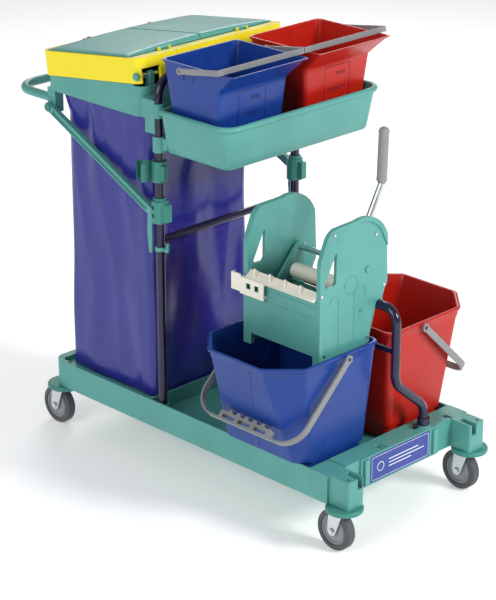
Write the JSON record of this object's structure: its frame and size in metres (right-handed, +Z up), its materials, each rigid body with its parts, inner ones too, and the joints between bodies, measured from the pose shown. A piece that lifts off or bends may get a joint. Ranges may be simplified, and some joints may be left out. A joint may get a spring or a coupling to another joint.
{
  "type": "cleaning trolley",
  "caption": "Janitor trolley with moulded base on swivel casters, hinged lid ring over a waste bag, upper tray with pails, two mop buckets and a lever wringer on a bridge tube.",
  "frame": {"origin": "on the floor under the middle of the trolley's box", "axes": "+X towards the mop bucket end, +Y to the side of the red pails, +Z up"},
  "size_m": [1.176, 0.674, 1.0735],
  "materials": {
    "leaf_plastic": "moulded satin plastic",
    "leaf_dark_plastic": "moulded satin plastic, darker",
    "tube_coat": "glossy dark powder coat",
    "zinc": "bright zinc plate",
    "yellow_plastic": "smooth moulded plastic",
    "pail_blue_plastic": "smooth moulded plastic",
    "bucket_blue_plastic": "smooth moulded plastic",
    "red_plastic": "smooth moulded plastic",
    "catch_plastic": "smooth moulded plastic",
    "grey_plastic": "satin grey plastic",
    "cream_plastic": "satin off-white plastic",
    "plate_blue": "printed plate, left blank",
    "bag_film": "thin glossy film with folds",
    "tyre_rubber": "grey-black rubber",
    "hub_plastic": "light grey moulded hub"
  },
  "bodies": {
    "chassis": {"base_tray": "leaf_plastic", "front_beam": "leaf_plastic", "front_plate": "plate_blue", "bumper_discs": "leaf_dark_plastic", "post_sockets": "leaf_plastic", "post_frame": "tube_coat", "crossbar": "tube_coat", "coat_hook": "leaf_plastic", "bridge_tube": "tube_coat", "bridge_brace": "tube_coat", "bridge_foot": "tube_coat", "holder_frame": "leaf_plastic", "frame_sockets": "leaf_plastic", "hinge_rod": "zinc", "push_handle": "leaf_plastic", "brace_left": "leaf_plastic", "brace_right": "leaf_plastic", "brace_collars": "leaf_dark_plastic", "brace_bolts": "leaf_dark_plastic", "tool_clips": "leaf_dark_plastic", "upper_tray": "leaf_plastic", "tray_brackets": "leaf_plastic", "waste_bag": "bag_film"},
    "caster_fl": {"fork_fl": "zinc", "axles_fl": "zinc"},
    "wheel_fl": {"tyre_fl": "tyre_rubber", "hub_fl": "hub_plastic"},
    "caster_fr": {"fork_fr": "zinc", "axles_fr": "zinc"},
    "wheel_fr": {"tyre_fr": "tyre_rubber", "hub_fr": "hub_plastic"},
    "caster_rl": {"fork_rl": "zinc", "axles_rl": "zinc"},
    "wheel_rl": {"tyre_rl": "tyre_rubber", "hub_rl": "hub_plastic"},
    "caster_rr": {"fork_rr": "zinc", "axles_rr": "zinc"},
    "wheel_rr": {"tyre_rr": "tyre_rubber", "hub_rr": "hub_plastic"},
    "lid_ring": {"lid_ring": "yellow_plastic"},
    "lid_left": {"lid_left": "leaf_plastic", "catch_left": "catch_plastic"},
    "lid_right": {"lid_right": "leaf_plastic", "catch_right": "catch_plastic"},
    "pail_blue": {"pail_blue": "pail_blue_plastic"},
    "pail_bail_blue": {"pail_bail_blue": "grey_plastic"},
    "pail_red": {"pail_red": "red_plastic"},
    "pail_bail_red": {"pail_bail_red": "grey_plastic"},
    "wringer": {"wringer_cheeks": "leaf_plastic", "drain_body": "leaf_plastic", "guide_comb": "cream_plastic", "wringer_screws": "zinc"},
    "lever": {"press_lever": "zinc", "lever_grip": "grey_plastic"},
    "press_roller": {"press_roller": "cream_plastic"},
    "lower_roller": {"lower_roller": "leaf_dark_plastic"},
    "bucket_blue": {"bucket_blue": "bucket_blue_plastic"},
    "bucket_bail_blue": {"bucket_bail_blue": "grey_plastic"},
    "bucket_red": {"bucket_red": "red_plastic"},
    "bucket_bail_red": {"bucket_bail_red": "grey_plastic"}
  },
  "joints": [
    {"name": "swivel_fl", "type": "hinge", "parent": "chassis", "child": "caster_fl", "pos_m": [0.544, 0.22, 0.104], "axis": [0, 0, 1], "continuous": true},
    {"name": "roll_fl", "type": "hinge", "parent": "caster_fl", "child": "wheel_fl", "pos_m": [0.52, 0.22, 0.05], "axis": [0, 1, 0], "continuous": true},
    {"name": "swivel_fr", "type": "hinge", "parent": "chassis", "child": "caster_fr", "pos_m": [0.544, -0.22, 0.104], "axis": [0, 0, 1], "continuous": true},
    {"name": "roll_fr", "type": "hinge", "parent": "caster_fr", "child": "wheel_fr", "pos_m": [0.52, -0.22, 0.05], "axis": [0, 1, 0], "continuous": true},
    {"name": "swivel_rl", "type": "hinge", "parent": "chassis", "child": "caster_rl", "pos_m": [-0.428, 0.22, 0.104], "axis": [0, 0, 1], "continuous": true},
    {"name": "roll_rl", "type": "hinge", "parent": "caster_rl", "child": "wheel_rl", "pos_m": [-0.452, 0.22, 0.05], "axis": [0, 1, 0], "continuous": true},
    {"name": "swivel_rr", "type": "hinge", "parent": "chassis", "child": "caster_rr", "pos_m": [-0.428, -0.22, 0.104], "axis": [0, 0, 1], "continuous": true},
    {"name": "roll_rr", "type": "hinge", "parent": "caster_rr", "child": "wheel_rr", "pos_m": [-0.452, -0.22, 0.05], "axis": [0, 1, 0], "continuous": true},
    {"name": "ring_hinge", "type": "hinge", "parent": "chassis", "child": "lid_ring", "pos_m": [-0.109, 0, 0.991], "axis": [0, 1, 0], "range_deg": [0, 70]},
    {"name": "lid_left_hinge", "type": "hinge", "parent": "lid_ring", "child": "lid_left", "pos_m": [-0.13851, 0.128, 1.03448], "axis": [0, -1, 0], "range_deg": [-95, 0]},
    {"name": "lid_right_hinge", "type": "hinge", "parent": "lid_ring", "child": "lid_right", "pos_m": [-0.13851, -0.128, 1.03448], "axis": [0, -1, 0], "range_deg": [-95, 0]},
    {"name": "pail_blue_lift", "type": "slide", "parent": "chassis", "child": "pail_blue", "axis": [0, 0, 1], "range_m": [0, 0.25]},
    {"name": "pail_blue_bail", "type": "hinge", "parent": "pail_blue", "child": "pail_bail_blue", "pos_m": [0.072, -0.1385, 1.0474], "axis": [0, -1, 0], "range_deg": [0, 162]},
    {"name": "pail_red_lift", "type": "slide", "parent": "chassis", "child": "pail_red", "axis": [0, 0, 1], "range_m": [0, 0.25]},
    {"name": "pail_red_bail", "type": "hinge", "parent": "pail_red", "child": "pail_bail_red", "pos_m": [0.072, 0.1385, 1.0474], "axis": [0, -1, 0], "range_deg": [0, 162]},
    {"name": "wringer_lift", "type": "slide", "parent": "chassis", "child": "wringer", "axis": [0, 0, 1], "range_m": [0, 0.08]},
    {"name": "bucket_blue_lift", "type": "slide", "parent": "chassis", "child": "bucket_blue", "axis": [0, 0, 1], "range_m": [0, 0.04]},
    {"name": "bucket_blue_bail", "type": "hinge", "parent": "bucket_blue", "child": "bucket_bail_blue", "pos_m": [0.3065, -0.132, 0.4274], "axis": [-1, 0, 0], "range_deg": [0, 105]},
    {"name": "bucket_red_lift", "type": "slide", "parent": "chassis", "child": "bucket_red", "axis": [0, 0, 1], "range_m": [0, 0.09]},
    {"name": "bucket_red_bail", "type": "hinge", "parent": "bucket_red", "child": "bucket_bail_red", "pos_m": [0.3065, 0.132, 0.4274], "axis": [1, 0, 0], "range_deg": [0, 120]},
    {"name": "lever_hinge", "type": "hinge", "parent": "wringer", "child": "lever", "pos_m": [0.322, -0.04, 0.612], "axis": [-1, 0, 0], "range_deg": [0, 35]},
    {"name": "press_roller_spin", "type": "hinge", "parent": "lever", "child": "press_roller", "pos_m": [0.322, -0.06, 0.56], "axis": [1, 0, 0], "continuous": true},
    {"name": "lower_roller_spin", "type": "hinge", "parent": "wringer", "child": "lower_roller", "pos_m": [0.322, -0.062, 0.517], "axis": [1, 0, 0], "continuous": true}
  ],
  "couplings": [
    {"joint": "bucket_blue_lift", "follows": "wringer_lift", "ratio": 0.5}
  ]
}
